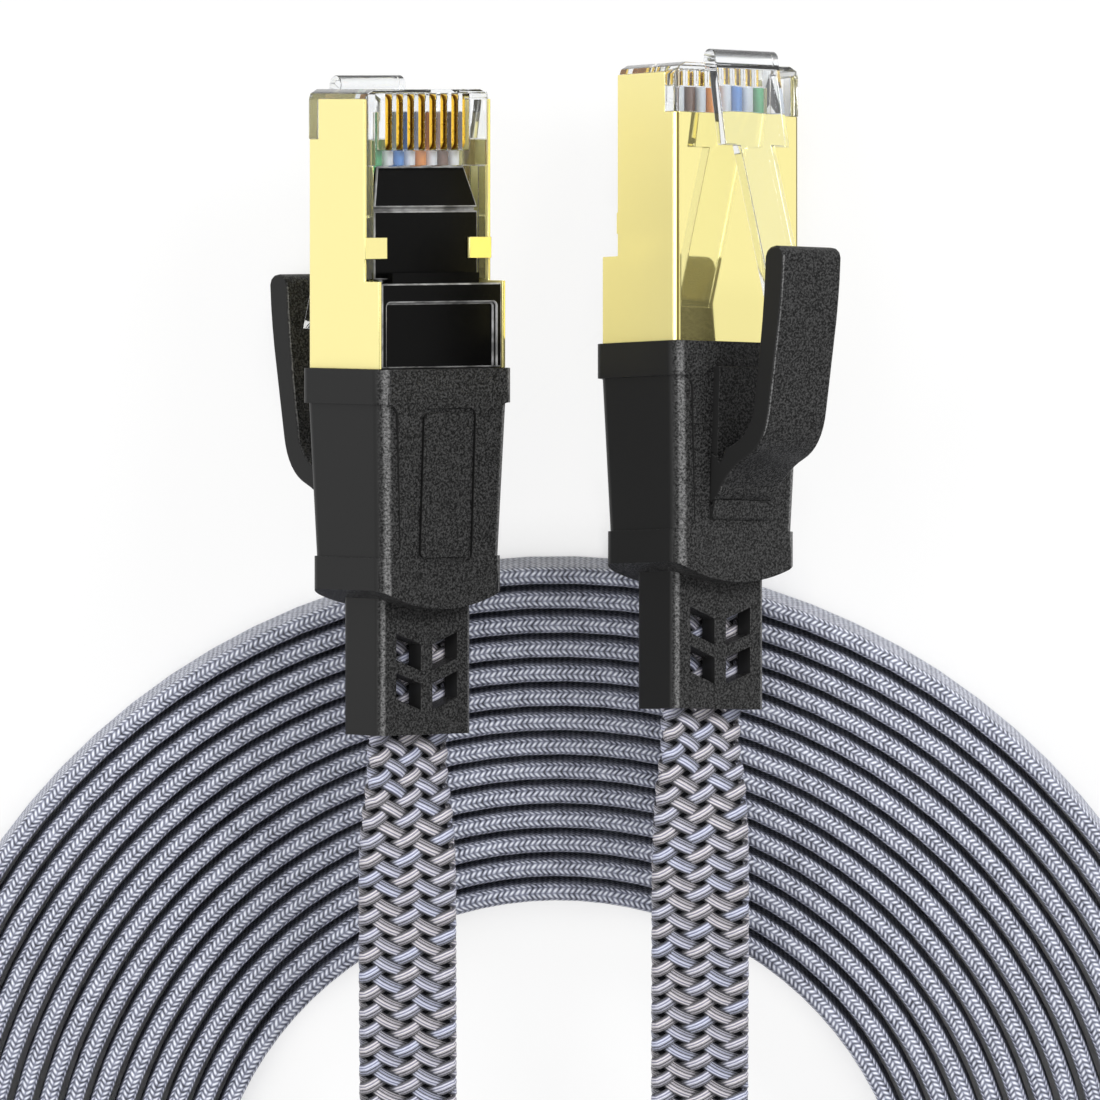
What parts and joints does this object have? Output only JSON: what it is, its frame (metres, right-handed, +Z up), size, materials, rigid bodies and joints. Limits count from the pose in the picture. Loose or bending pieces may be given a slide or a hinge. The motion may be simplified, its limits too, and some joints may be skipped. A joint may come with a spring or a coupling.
{
  "type": "ethernet patch cable",
  "caption": "Flat braided ethernet patch cable with shielded modular plugs, boots with a release lever over the latch, and its length wound in one flat coil.",
  "frame": {"origin": "on the surface that the cable lies on, below the middle of the two plugs", "axes": "+Y along the plugs towards their tips, +Z up, +X from plug a to plug b"},
  "size_m": [0.1003, 0.1715, 0.0205],
  "materials": {
    "clear": "clear moulded polycarbonate",
    "contact_gold": "polished gold plating",
    "shield_gold": "polished pale gold plating",
    "insert_black": "satin black moulding",
    "wire_green": "insulation",
    "wire_blue": "insulation",
    "wire_orange": "insulation",
    "wire_brown": "insulation",
    "foil": "wrapped foil",
    "ring_metal": "tinned steel",
    "boot_black": "fine-grained moulding",
    "lever_black": "fine-grained moulding",
    "braid": "grey and blue-black braid"
  },
  "bodies": {
    "cable": {"a_housing": "clear", "a_contacts": "contact_gold", "a_shield": "shield_gold", "a_strain_bar": "insert_black", "a_rear_cover": "insert_black", "a_load_bar": "clear", "a_green_pair": "wire_green", "a_blue_pair": "wire_blue", "a_orange_pair": "wire_orange", "a_brown_pair": "wire_brown", "a_foil_pairs": "foil", "a_crimp_ring": "ring_metal", "a_boot": "boot_black", "b_housing": "clear", "b_contacts": "contact_gold", "b_shield": "shield_gold", "b_strain_bar": "insert_black", "b_rear_cover": "insert_black", "b_load_bar": "clear", "b_green_pair": "wire_green", "b_blue_pair": "wire_blue", "b_orange_pair": "wire_orange", "b_brown_pair": "wire_brown", "b_foil_pairs": "foil", "b_crimp_ring": "ring_metal", "b_boot": "boot_black", "lead_a": "braid", "coil": "braid", "lead_b": "braid"},
    "a_lever": {"a_lever": "lever_black"},
    "a_latch": {"a_latch": "clear"},
    "b_lever": {"b_lever": "lever_black"},
    "b_latch": {"b_latch": "clear"}
  },
  "joints": [
    {"name": "a_lever_press", "type": "hinge", "parent": "cable", "child": "a_lever", "pos_m": [-0.01304, -0.00777, 0.01042], "axis": [0.7727, -0.0644, -0.6315], "range_deg": [0, 10], "stiffness_Nm_per_rad": 0.05},
    {"name": "a_latch_flex", "type": "hinge", "parent": "cable", "child": "a_latch", "pos_m": [-0.01349, 0.02222, 0.00682], "axis": [-0.7727, 0.0644, 0.6315], "range_deg": [0, 8], "stiffness_Nm_per_rad": 0.05},
    {"name": "b_lever_press", "type": "hinge", "parent": "cable", "child": "b_lever", "pos_m": [0.01304, -0.00564, 0.01324], "axis": [-0.7727, 0.1029, 0.6263], "range_deg": [0, 10], "stiffness_Nm_per_rad": 0.05},
    {"name": "b_latch_flex", "type": "hinge", "parent": "cable", "child": "b_latch", "pos_m": [0.01349, 0.02425, 0.00888], "axis": [0.7727, -0.1029, -0.6263], "range_deg": [0, 8], "stiffness_Nm_per_rad": 0.05}
  ],
  "couplings": [
    {"joint": "a_latch_flex", "follows": "a_lever_press", "ratio": 0.75},
    {"joint": "b_latch_flex", "follows": "b_lever_press", "ratio": 0.75}
  ]
}
